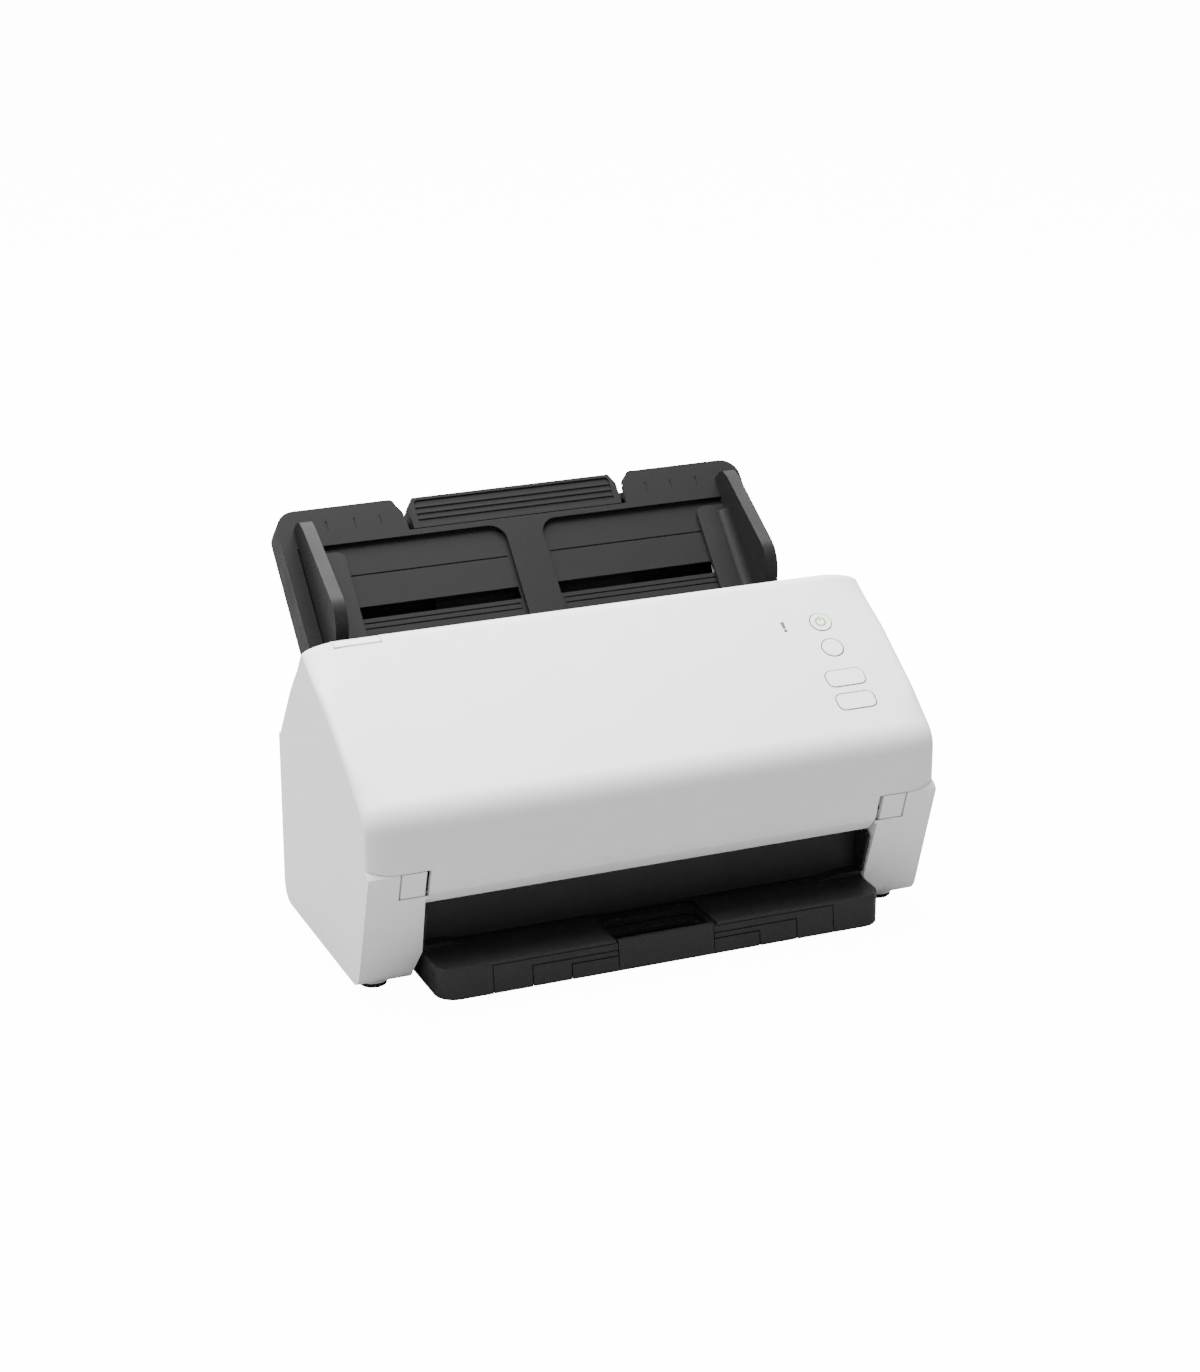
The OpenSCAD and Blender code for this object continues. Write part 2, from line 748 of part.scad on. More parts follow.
// Gear along X with a tooth pointing up the path, turned on by a
module spur_gear(n, a, bore) {
    difference() {
        rotate([a, 0, 0]) prism_x(gear_points(n, gear_m), gear_x0, gear_x1);
        bar_x(bore, gear_x0 - cut, gear_x1 + cut);
        if (n > 16) difference() {
            bar_x(7, gear_x1 - 1.5, gear_x1 + cut);
            bar_x(4.6, gear_x1 - 3, gear_x1 + 2);
        }
    }
}

half_tooth = 180 / gear_teeth;

module pickup_shaft() shaft(pickup_t);
module pickup_tyres() tyres(pickup_t, [-27, 5], 22);
module pickup_gear() color("ivory") on_path(pickup_t, shaft_h) spur_gear(gear_teeth, 0, shaft_r + 0.01);
module feed_shaft() shaft(feed_t);
module feed_tyres() tyres(feed_t, [-84, -44, 22, 62], 22);
module feed_gear() color("ivory") on_path(feed_t, shaft_h) spur_gear(gear_teeth, 0, shaft_r + 0.01);
module eject_shaft() shaft(eject_t);
module eject_tyres() tyres(eject_t, [-84, -44, 22, 62], 22);
module eject_gear() color("ivory") on_path(eject_t, shaft_h) spur_gear(gear_teeth, 0, shaft_r + 0.01);

module idler_gear_upper()
    color("ivory") on_path(pickup_t + gear_pitch, shaft_h) spur_gear(gear_teeth, half_tooth, 2 + run_fit);

module idler_gear_lower()
    color("ivory") on_path(feed_t + gear_pitch, shaft_h) spur_gear(gear_teeth, half_tooth, 2 + run_fit);

module motor_pinion() {
    color("goldenrod") on_path(feed_t, pinion_h) {
        spur_gear(pinion_teeth, 0, 1);
        bar_x(1.5, 112, gear_x0 + 1);
    }
}

// ---- rollers on the cover, turned by the paper ----

module pinch_roller(t, xs, len, half_span) {
    on_path(t, nip + 7) {
        color("silver") bar_x(2, -half_span, half_span);
        color("dimgray") for (x = xs) difference() {
            bar_x(7, x, x + len);
            bar_x(2, x - cut, x + len + cut);
        }
    }
}

module separation_roller() pinch_roller(pickup_t, [-27, 5], 22, 32);
module feed_pinch_rollers() pinch_roller(feed_t, [-84, -44, 22, 62], 22, 88);
module eject_pinch_rollers() pinch_roller(eject_t, [-84, -44, 22, 62], 22, 88);

// ---- feed tray ----

notch_half = handle_half_w + 2.6;

// Outline of the tray's surface, with a notch for the extension's handle
function tray_outline() = concat(
    [[-tray_half, -tray_len]],
    arc([-tray_half + 10, -10], 10, 180, 90, 6),
    arc([-notch_half - 7, -3], 3, 90, 0, 4),
    [[-notch_half - 1, -8], [-notch_half, -18.6], [notch_half, -18.6], [notch_half + 1, -8]],
    arc([notch_half + 7, -3], 3, 180, 90, 4),
    arc([tray_half - 10, -10], 10, 90, 0, 6),
    [[tray_half, -tray_len]]);

// Whole body of the tray: surface outline, cut upright at the back of its top edge
module tray_body(d0, d1) {
    translate([0, 0, -d1]) linear_extrude(d1 - d0) polygon(tray_outline());
}

module feed_tray() {
    color("dimgray") on_tray() difference() {
        union() {
            tray_body(0, 3.2);
            // Side walls and their turned back edges
            both_sides() intersection() {
                union() {
                    tray_body(0, tray_depth);
                    block([0, -tray_foot, -tray_depth], [tray_half, -tray_len + cut, 0]);
                }
                block([tray_half - 2.4, -tray_foot, -tray_depth], [tray_half, 0, 0]);
            }
            both_sides() intersection() {
                tray_body(0, 9);
                union() {
                    block([notch_half, -3.4, -9], [tray_half, 0, 0]);
                    translate([0, 0, -9]) linear_extrude(9) difference() {
                        square([260, 40], center = true);
                        translate([tray_half - 10, -10]) circle(7.6);
                        translate([0, -25]) square([tray_half * 2 - 20, 43.2], center = true);
                        translate([0, -30]) square([tray_half * 2 - 4.8, 40], center = true);
                    }
                }
            }
        }
        // Recess of the surface, either side of the middle bar
        both_sides() translate([0, 0, -recess]) linear_extrude(10) {
            difference() {
                translate([10, -tray_len - cut]) square([border_x - 10, tray_len + cut - rim_len]);
                translate([10, -rim_len - 9]) square([9, 10]);
            }
            translate([19, -rim_len - 9]) circle(9);
        }
        // Slots of the guides
        both_sides() translate([11, slot_u0, -10]) cube([101, slot_u1 - slot_u0, 20]);
        // Fine grooves across the surface
        for (u = [-40, -67.5, -70.5]) both_sides()
            translate([12, u, -recess - 0.5]) cube([100, 0.8, 2]);
        // Paper size ticks by the rim
        for (x = [74, 88, 103, 118]) both_sides()
            translate([x, -14, -0.4]) cube([0.6, 6, 2]);
        // Upright cut at the back of the top edge, and the foot of the slope
        rotate([-tray_angle, 0, 0]) block([-200, 7.5, -60], [200, 30, 20]);
    }
}

module tray_back() {
    color("dimgray") on_tray() difference() {
        union() {
            both_sides() block([0, -tray_foot, -tray_depth], [tray_half - 2.6, -8, -15.5]);
            // Carrier under the guides, down to the base
            both_sides() block([tray_half - 6, -tray_len + 0.2, -15.6], [tray_half - 2.6, -12, -3.4]);
            both_sides() block([60, -12, -15.6], [tray_half - 10, -8.2, -8]);
        }
        rotate([-tray_angle, 0, 0]) block([-200, 7.5, -60], [200, 30, 20]);
        for (i = [-4:4]) translate([i * 22 - 7, -80, -20]) cube([14, 2, 4]);
        translate([-57, -20, -20]) cube([114, 30, 10]);
    }
}

module tray_extension() {
    color("dimgray") on_tray() {
        difference() {
            union() {
                block([-55, -88, -11.2], [55, -6, -9.2]);
                // Handle with slanting ends
                translate([0, 0, -11.2]) linear_extrude(11.2) polygon([
                    [-handle_half_w, -18.2], [-handle_half_w, -6], [-handle_half_w + 3, -0.5],
                    [handle_half_w - 3, -0.5], [handle_half_w, -6], [handle_half_w, -18.2]]);
            }
            // Sunken grip with ridges left standing
            difference() {
                translate([0, -9.3, -0.8]) linear_extrude(3) round_rect(2 * handle_half_w - 7, 14, 2);
                for (u = [-12.8, -9.4, -6])
                    block([-handle_half_w, u - 0.5, -3], [handle_half_w, u + 0.5, -0.2]);
            }
            translate([-handle_half_w - cut, -30, -9.1]) cube([2 * handle_half_w + 2, 13.6, 5.2]);
        }
    }
}

module tray_extension_tip() {
    color("dimgray") on_tray() difference() {
        union() {
            block([-46, -84, -13.9], [46, -2, -11.6]);
            block([-46, -4, -15.2], [46, -0.6, -11.6]);
        }
        rotate([-tray_angle, 0, 0]) block([-200, 7.5, -60], [200, 30, 20]);
    }
}

// ---- paper guides ----

module guide() {
    color("dimgray") on_tray() {
        // Base plate in the recess
        translate([0, 0, -recess + 0.3]) linear_extrude(1.9) polygon(concat(
            [[98, -91], [98, -31]], arc([102.5, -30.5], 4.5, 180, 90, 4), [[guide_open + 1, -26],
            [guide_open + 1, -91]]));
        // Fin
        prism_x([[-92.5, -recess + 0.3], [-92.5, 8], [-84, 18.8], [-79, 24.4], [-74, 27.4], [-69, 28.5],
                 [-64, 27.8], [-18, 14.6], [-13, 11.8], [-11, 8], [-10.5, 0.3],
                 [-rim_len - 0.4, 0.3], [-rim_len - 0.4, -recess + 0.3]], guide_open, guide_open + fin_t);
        // Fillet between plate and fin
        difference() {
            block([guide_open - 5, -88, -recess + 2], [guide_open + 0.5, -30, 5]);
            translate([guide_open - 5, -100, 5.2]) rotate([-90, 0, 0]) cylinder(r = 5, h = 80);
        }
        // Stem through the slot
        block([99.5, slot_u0 + 0.4, -3.4], [106, slot_u1 - 0.4, -recess + 0.5]);
    }
}

module right_guide() guide();
module left_guide() mirror([1, 0, 0]) guide();

// Rack with its teeth towards -u from the pitch line; x runs from x0 to x1
module rack_bar(x0, x1) {
    pitch = PI * gear_m;
    n0 = ceil((x0 + 1) / pitch - 0.5);
    n1 = floor((x1 - 1) / pitch - 0.5);
    back = 5;
    translate([0, 0, rack_bottom]) linear_extrude(rack_top - rack_bottom) polygon(concat(
        [[x0, back], [x0, 1.3]],
        [for (n = [n0:n1]) let (c = (n + 0.5) * pitch, a = pitch / 4 - 0.06)
            each [[c - a - 0.46, 1.3], [c - a + 0.33, -0.9], [c + a - 0.33, -0.9], [c + a + 0.46, 1.3]]],
        [[x1, 1.3], [x1, back]]));
}

module left_rack() {
    color("dimgray") on_tray() {
        translate([0, rack_u + rack_r, 0]) rack_bar(-106, 6);
        block([-106, slot_u0 + 0.4, rack_bottom], [-99.5, rack_u + rack_r + 1.3, rack_top]);
    }
}

module right_rack() {
    color("dimgray") on_tray() {
        translate([0, rack_u - rack_r, 0]) rotate([0, 0, 180]) rack_bar(-106, 6);
        block([99.5, rack_u - rack_r - 1.3, rack_bottom], [106, slot_u1 - 0.4, rack_top]);
    }
}

module guide_pinion() {
    color("ivory") on_tray() translate([0, rack_u, rack_bottom]) {
        linear_extrude(rack_top - rack_bottom) rotate(90) polygon(gear_points(rack_teeth, gear_m));
        translate([0, 0, -0.8]) cylinder(r = 2, h = rack_top - rack_bottom + 0.9);
    }
}

// ---- exit tray ----

// Nested inverted trays: i is 0 for the outermost; the next one sits inside it
module stage(i) {
    hw = STAGE_HALF[i] - (i == 0 ? 0 : stage_gap);
    top = STAGE_TOP[i] - (i == 0 ? 0 : stage_gap);
    inner = i < 3 ? STAGE_HALF[i + 1] + 0.1 : hw;
    roof = i < 3 ? STAGE_TOP[i + 1] + 0.1 : top;
    back = i == 0 ? 28 : stack_front + stage_len - i * 2;
    color("dimgray") difference() {
        linear_extrude(top) polygon(concat(
            [[hw, back], [hw, stack_front + (i == 0 ? 10 : 0)]],
            i == 0 ? arc([hw - 10, stack_front + 10], 10, 0, -90, 6) : [],
            i == 0 ? arc([-hw + 10, stack_front + 10], 10, -90, -180, 6) : [],
            [[-hw, stack_front + (i == 0 ? 10 : 0)], [-hw, back]]));
        block([-200, -200, -cut], [200, 200, stack_z0]);
        // Room for the next tray
        if (i < 3) block([-inner, -200, 0], [inner, 200, roof]);
        // Hollow sides of the outermost tray
        if (i == 0) both_sides()
            block([inner + 1.6, stack_front + 6, 0], [hw - 2.4, 200, stack_top - 2]);
        // Finger recess, one step further forward in each tray
        translate([0, 0, i < 3 ? roof - 1 : stack_z0 + 2]) linear_extrude(30) {
            w = recess_half - i * 1.7;
            translate([-pull_half - 0.35, stack_front - 5]) square([2 * pull_half + 0.7, 10]);
            difference() {
                translate([-w, stack_front - 5]) square([2 * w, RECESS_BACK[i] - stack_front + 5]);
                both_sides() translate([w - 5, RECESS_BACK[i] - 5]) difference() {
                    square(6);
                    circle(5);
                }
            }
        }
        ahead_of_front();
    }
}

// What lies in front of the trays' leaning front face
module ahead_of_front()
    prism_x([[stack_front - 5, 0], [stack_front, stack_z0], [stack_front + 2.2, stack_top],
             [stack_front + 2.2, 40], [stack_front - 5, 40]], -200, 200);

module stacker_base() {
    stage(0);
    // Upturned ends beside the wall
    color("dimgray") both_sides() prism_y([[92, stack_top - 0.2], [stacker_w / 2 - 0.2, stack_top - 0.2],
        [stacker_w / 2 - 0.2, stack_top + 2.6], [106, stack_top + 2.6]], -82, -75.8);
}
module stacker_stage_2() stage(1);
module stacker_stage_3() stage(2);

module stacker_stage_4() {
    stage(3);
    // The wall that the finger pulls
    color("dimgray") difference() {
        block([-pull_half, stack_front, stack_z0], [pull_half, stack_front + 4.4, stack_top - 0.6]);
        ahead_of_front();
    }
}

cover_shell();
cover_inner_frame();
upper_scan_unit();
upper_glass();
hinge_arms();
control_board();
status_lens();
release_lever();
latch_hooks();
power_button();
power_light();
stop_button();
long_button_upper();
long_button_lower();
separation_roller();
feed_pinch_rollers();
eject_pinch_rollers();
left_side_cover();
right_side_cover();
rear_cover();
base_pan();
left_frame();
right_frame();
lower_guide_plate();
lower_scan_unit();
lower_glass();
feed_tray();
tray_back();
stacker_base();
rubber_feet();
main_board();
motor();
power_jack();
usb_ports();
hinge_pins();
shaft_bushes();
gear_guard();
case_screws();
tray_extension();
tray_extension_tip();
left_guide();
right_guide();
left_rack();
right_rack();
guide_pinion();
stacker_stage_2();
stacker_stage_3();
stacker_stage_4();
pickup_shaft();
pickup_tyres();
pickup_gear();
feed_shaft();
feed_tyres();
feed_gear();
eject_shaft();
eject_tyres();
eject_gear();
idler_gear_upper();
idler_gear_lower();
motor_pinion();
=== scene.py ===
"""The looks of a sheet fed document scanner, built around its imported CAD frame. Metres."""

import json
import math

import bmesh
import bpy
from mathutils import Matrix, Vector


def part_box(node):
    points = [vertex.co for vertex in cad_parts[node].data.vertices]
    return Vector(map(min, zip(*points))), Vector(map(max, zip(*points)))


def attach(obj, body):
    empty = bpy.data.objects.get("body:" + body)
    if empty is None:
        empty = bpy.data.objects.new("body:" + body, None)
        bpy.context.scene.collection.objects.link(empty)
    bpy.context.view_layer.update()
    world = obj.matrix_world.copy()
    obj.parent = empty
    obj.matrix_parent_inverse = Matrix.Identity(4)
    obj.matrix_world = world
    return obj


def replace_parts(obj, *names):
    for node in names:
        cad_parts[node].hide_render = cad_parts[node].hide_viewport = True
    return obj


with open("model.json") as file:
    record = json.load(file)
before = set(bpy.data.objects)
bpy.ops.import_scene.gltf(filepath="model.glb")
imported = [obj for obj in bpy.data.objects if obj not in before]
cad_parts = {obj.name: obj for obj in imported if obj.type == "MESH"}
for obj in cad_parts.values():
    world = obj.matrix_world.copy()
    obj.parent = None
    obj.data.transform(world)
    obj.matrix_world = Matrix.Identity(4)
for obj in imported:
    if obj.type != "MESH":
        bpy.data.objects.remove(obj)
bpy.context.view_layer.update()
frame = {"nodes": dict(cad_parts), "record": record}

MM = 0.001
BEHAVIOUR = frame["record"]["behaviour"]
BODY_OF = {node: body for body, nodes in BEHAVIOUR["bodies"].items() for node in nodes}
SLOT_OF = {row["node"]: row["material_slot"] for row in frame["record"]["subparts"]}

# How edges are found, rounded and shaded
MERGE_DISTANCE = 2e-6
FLAT_ANGLE = math.radians(0.4)      # faces closer than this are made one
EDGE_ANGLE = math.radians(28)       # edges sharper than this are rounded
SMOOTH_ANGLE = math.radians(34)     # and sharper than this they stay crisp
EDGE_SEGMENTS = 2
FLAT_WEIGHT = 80

# Solved from the photograph
CAMERA_PLACE = (-0.5738, -1.4034, 0.6797)
CAMERA_AZIMUTH, CAMERA_ELEVATION = math.radians(-22.63), math.radians(21.34)
SENSOR_MM, LENS_MM = 36, 84.11
CAMERA_SHIFT = (-0.0029, 0.0328)

LIGHT_TARGET = (0, 0, 0.08)
SKY_STRENGTH = 0.5
FLOOR_SIZE = 12
FLOOR_DARK, FLOOR_LIGHT = (0.36, 0.36, 0.36), (0.37, 0.37, 0.37)
FLOOR_GLOW = 14.0


# ---- camera, floor and light ----

def add_camera():
    data = bpy.data.cameras.new("camera")
    data.sensor_width = SENSOR_MM
    data.lens = LENS_MM
    data.shift_x, data.shift_y = CAMERA_SHIFT
    camera = bpy.data.objects.new("camera", data)
    camera.location = CAMERA_PLACE
    camera.rotation_euler = (math.pi / 2 - CAMERA_ELEVATION, 0, CAMERA_AZIMUTH)
    bpy.context.scene.collection.objects.link(camera)
    bpy.context.scene.camera = camera


def add_light(name, place, size, power):
    """A rectangular light of a size in metres and a power in watts, aimed at the scanner."""
    data = bpy.data.lights.new(name, "AREA")
    data.shape = "RECTANGLE"
    data.size, data.size_y = size
    data.energy = power
    light = bpy.data.objects.new(name, data)
    light.location = place
    aim = Vector(LIGHT_TARGET) - Vector(place)
    light.rotation_euler = aim.to_track_quat("-Z", "Y").to_euler()
    bpy.context.scene.collection.objects.link(light)


def add_studio():
    world = bpy.data.worlds.new("studio")
    bpy.context.scene.world = world
    world.use_nodes = True
    sky = world.node_tree.nodes["Background"]
    sky.inputs["Color"].default_value = (1, 1, 1, 1)
    sky.inputs["Strength"].default_value = SKY_STRENGTH
    add_light("top_light", (-0.1, 0.3, 1.4), (1.6, 1.0), 95)
    add_light("left_light", (-1.6, 0.1, 0.7), (0.9, 0.9), 5)
    add_light("back_light", (0.5, 1.3, 0.9), (1.2, 0.6), 5)
    bpy.ops.mesh.primitive_plane_add(size=FLOOR_SIZE)
    floor = bpy.context.object
    floor.name = "floor"
    floor.data.materials.append(floor_material())


# ---- materials ----

NOISE_LOW, NOISE_HIGH = 0.3, 0.7    # most of a noise lies between these
METAL_LINE_MM = 0.004               # how deep the lines on metal are


def new_material(name):
    material = bpy.data.materials.new(name)
    material.use_nodes = True
    tree = material.node_tree
    return material, tree, tree.nodes["Principled BSDF"]


def noise(tree, scale, detail=2.0, squash=(1, 1, 1)):
    """Noise over the object's own coordinates, which are the frame's metres."""
    place = tree.nodes.new("ShaderNodeTexCoord")
    stretch = tree.nodes.new("ShaderNodeMapping")
    stretch.inputs["Scale"].default_value = squash
    texture = tree.nodes.new("ShaderNodeTexNoise")
    texture.inputs["Scale"].default_value = scale
    texture.inputs["Detail"].default_value = detail
    tree.links.new(place.outputs["Object"], stretch.inputs["Vector"])
    tree.links.new(stretch.outputs["Vector"], texture.inputs["Vector"])
    return texture.outputs["Fac"]


def spread(tree, value, low, high):
    """A noise stretched to run from low to high."""
    ramp = tree.nodes.new("ShaderNodeMapRange")
    ramp.inputs["From Min"].default_value = NOISE_LOW
    ramp.inputs["From Max"].default_value = NOISE_HIGH
    ramp.inputs["To Min"].default_value = low
    ramp.inputs["To Max"].default_value = high
    tree.links.new(value, ramp.inputs["Value"])
    return ramp.outputs["Result"]


def tint(tree, value, low, high):
    """A noise turned into colours from low to high."""
    ramp = tree.nodes.new("ShaderNodeValToRGB")
    ramp.color_ramp.elements[0].position = NOISE_LOW
    ramp.color_ramp.elements[1].position = NOISE_HIGH
    ramp.color_ramp.elements[0].color = (*low, 1)
    ramp.color_ramp.elements[1].color = (*high, 1)
    tree.links.new(value, ramp.inputs["Fac"])
    return ramp.outputs["Color"]


def bump(tree, shader, value, height):
    node = tree.nodes.new("ShaderNodeBump")
    node.inputs["Strength"].default_value = 1.0
    node.inputs["Distance"].default_value = height
    tree.links.new(value, node.inputs["Height"])
    tree.links.new(node.outputs["Normal"], shader.inputs["Normal"])


def shade(colour, factor):
    return tuple(min(1.0, part * factor) for part in colour)


def moulded(name, colour, rough, grain_mm=0.45, depth_mm=0.012, vary=0.03, shine=0.5):
    """Injection moulded plastic: a fine spark texture, with faint cloudy colour and gloss."""
    material, tree, shader = new_material(name)
    cloud = noise(tree, scale=14, detail=3)
    tree.links.new(tint(tree, cloud, shade(colour, 1 - vary), shade(colour, 1 + vary)),
                   shader.inputs["Base Color"])
    tree.links.new(spread(tree, noise(tree, scale=60), rough - 0.04, rough + 0.04),
                   shader.inputs["Roughness"])
    bump(tree, shader, noise(tree, scale=1 / (grain_mm * MM)), depth_mm * MM)
    shader.inputs["Specular IOR Level"].default_value = shine
    return material


def glossy(name, colour, rough, glow=0.0):
    """Smooth polished plastic, which can glow in its own colour."""
    material, tree, shader = new_material(name)
    cloud = noise(tree, scale=40)
    tree.links.new(tint(tree, cloud, shade(colour, 0.98), shade(colour, 1.02)),
                   shader.inputs["Base Color"])
    tree.links.new(spread(tree, noise(tree, scale=90), rough - 0.03, rough + 0.03),
                   shader.inputs["Roughness"])
    if glow:
        shader.inputs["Emission Color"].default_value = (*colour, 1)
        shader.inputs["Emission Strength"].default_value = glow
    return material


def metal(name, colour, rough, squash=(1, 1, 1)):
    """Bare metal with fine lines along whichever axis is squashed."""
    material, tree, shader = new_material(name)
    shader.inputs["Metallic"].default_value = 1.0
    lines = noise(tree, scale=900, detail=3, squash=squash)
    tree.links.new(tint(tree, lines, shade(colour, 0.9), shade(colour, 1.08)),
                   shader.inputs["Base Color"])
    tree.links.new(spread(tree, lines, rough - 0.06, rough + 0.08), shader.inputs["Roughness"])
    bump(tree, shader, lines, METAL_LINE_MM * MM)
    return material


def circuit_board(name, colour):
    """Solder mask over a maze of copper tracks."""
    material, tree, shader = new_material(name)
    place = tree.nodes.new("ShaderNodeTexCoord")
    cells = tree.nodes.new("ShaderNodeTexBrick")
    cells.inputs["Scale"].default_value = 260
    cells.inputs["Color1"].default_value = (*shade(colour, 0.8), 1)
    cells.inputs["Color2"].default_value = (*shade(colour, 1.3), 1)
    cells.inputs["Mortar"].default_value = (*shade(colour, 1.9), 1)
    cells.inputs["Mortar Size"].default_value = 0.03
    tree.links.new(place.outputs["Object"], cells.inputs["Vector"])
    tree.links.new(cells.outputs["Color"], shader.inputs["Base Color"])
    bump(tree, shader, cells.outputs["Fac"], 0.02 * MM)
    shader.inputs["Roughness"].default_value = 0.3
    return material


def clear_glass(name):
    material, tree, shader = new_material(name)
    shader.inputs["Transmission Weight"].default_value = 1.0
    shader.inputs["IOR"].default_value = 1.5
    shader.inputs["Base Color"].default_value = (0.9, 0.96, 0.97, 1)
    tree.links.new(spread(tree, noise(tree, scale=50), 0.01, 0.05), shader.inputs["Roughness"])
    return material


def floor_material():
    """Pale grey for the light that falls on it, and glowing white where the camera sees it."""
    material, tree, shader = new_material("floor_paper")
    tree.links.new(tint(tree, noise(tree, scale=3), FLOOR_DARK, FLOOR_LIGHT),
                   shader.inputs["Base Color"])
    shader.inputs["Roughness"].default_value = 0.9
    # The glow answers camera rays alone, so it throws no light on the scanner
    rays = tree.nodes.new("ShaderNodeLightPath")
    glow = tree.nodes.new("ShaderNodeMath")
    glow.operation = "MULTIPLY"
    glow.inputs[1].default_value = FLOOR_GLOW
    tree.links.new(rays.outputs["Is Camera Ray"], glow.inputs[0])
    tree.links.new(glow.outputs["Value"], shader.inputs["Emission Strength"])
    shader.inputs["Emission Color"].default_value = (1, 1, 1, 1)
    return material


ALONG_X, ROUND_X = (0.02, 1, 1), (30, 1, 1)     # which way the lines on metal run
MATERIALS = {
    "case_white": moulded("case_white", (0.84, 0.84, 0.845), 0.42, vary=0.008),
    "tray_grey": moulded("tray_grey", (0.0135, 0.0135, 0.014), 0.50, 0.5, 0.02, shine=0.10),
    "stacker_black": moulded("stacker_black", (0.020, 0.020, 0.021), 0.46, 0.5, 0.02, shine=0.25),
    "inner_black": moulded("inner_black", (0.016, 0.016, 0.017), 0.55, 0.6, 0.02, shine=0.3),
    "guide_grey": moulded("guide_grey", (0.0165, 0.0165, 0.017), 0.46, 0.5, 0.015, shine=0.12),
    "button_white": moulded("button_white", (0.85, 0.85, 0.85), 0.33, 0.4, 0.006, 0.008),
    "light_green": glossy("light_green", (0.07, 0.42, 0.01), 0.3, glow=0.12),
    "mark_black": glossy("mark_black", (0.008, 0.008, 0.008), 0.25),
    "scan_glass": clear_glass("scan_glass"),
    "scan_black": moulded("scan_black", (0.010, 0.010, 0.011), 0.5),
    "board_green": circuit_board("board_green", (0.012, 0.09, 0.03)),
    "sheet_steel": metal("sheet_steel", (0.60, 0.61, 0.62), 0.36),
    "shaft_steel": metal("shaft_steel", (0.68, 0.68, 0.69), 0.22, ROUND_X),
    "roller_rubber": moulded("roller_rubber", (0.045, 0.045, 0.048), 0.75, 0.8, 0.05),
    "foot_rubber": moulded("foot_rubber", (0.010, 0.010, 0.010), 0.8, 0.8, 0.05),
    "gear_white": moulded("gear_white", (0.72, 0.69, 0.60), 0.38),
    "pinion_brass": metal("pinion_brass", (0.78, 0.57, 0.26), 0.28, ALONG_X),
    "bush_bronze": metal("bush_bronze", (0.55, 0.36, 0.17), 0.45),
    "socket_black": moulded("socket_black", (0.012, 0.012, 0.012), 0.4),
    "socket_steel": metal("socket_steel", (0.66, 0.66, 0.65), 0.25, ALONG_X),
    "screw_steel": metal("screw_steel", (0.12, 0.12, 0.12), 0.4),
}


# ---- meshes ----

def add_piece(name, mesh, node, body=None):
    """A visible piece that rides with a CAD node's body and carries its material."""
    piece = bpy.data.objects.new(name, mesh)
    bpy.context.scene.collection.objects.link(piece)
    mesh.materials.clear()
    mesh.materials.append(MATERIALS[SLOT_OF[node]])
    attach(piece, body or BODY_OF[node])
    return piece


def baked(source, modifiers):
    """The mesh that an object has after its modifiers, as a new mesh."""
    for kind, values in modifiers:
        modifier = source.modifiers.new(kind.lower(), kind)
        for key, value in values.items():
            setattr(modifier, key, value)
    graph = bpy.context.evaluated_depsgraph_get()
    mesh = bpy.data.meshes.new_from_object(source.evaluated_get(graph))
    bpy.data.objects.remove(source)
    return mesh


def smooth_by_angle(mesh):
    work = bmesh.new()
    work.from_mesh(mesh)
    for face in work.faces:
        face.smooth = True
    for edge in work.edges:
        edge.smooth = (len(edge.link_faces) == 2
                       and edge.calc_face_angle(math.pi) < SMOOTH_ANGLE)
    work.to_mesh(mesh)
    work.free()


def weighted(mesh):
    """Shade flat faces flat, so that the eased edges don't bend the light across them."""
    source = bpy.data.objects.new("weighted_source", mesh)
    bpy.context.scene.collection.objects.link(source)
    return baked(source, [("WEIGHTED_NORMAL", {"keep_sharp": True, "weight": FLAT_WEIGHT})])


def eased(node, width_mm):
    """Replace a CAD node by a copy of its mesh with the sharp edges rounded off."""
    mesh = frame["nodes"][node].data.copy()
    work = bmesh.new()
    work.from_mesh(mesh)
    bmesh.ops.remove_doubles(work, verts=work.verts, dist=MERGE_DISTANCE)
    bmesh.ops.dissolve_limit(work, angle_limit=FLAT_ANGLE, verts=work.verts, edges=work.edges)
    work.to_mesh(mesh)
    work.free()
    source = bpy.data.objects.new(node + "_source", mesh)
    bpy.context.scene.collection.objects.link(source)
    rounding = ("BEVEL", {"width": width_mm * MM, "segments": EDGE_SEGMENTS,
                          "limit_method": "ANGLE", "angle_limit": EDGE_ANGLE,
                          "use_clamp_overlap": True})
    result = baked(source, [rounding])
    smooth_by_angle(result)
    piece = add_piece(node + "_look", weighted(result), node)
    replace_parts(piece, node)


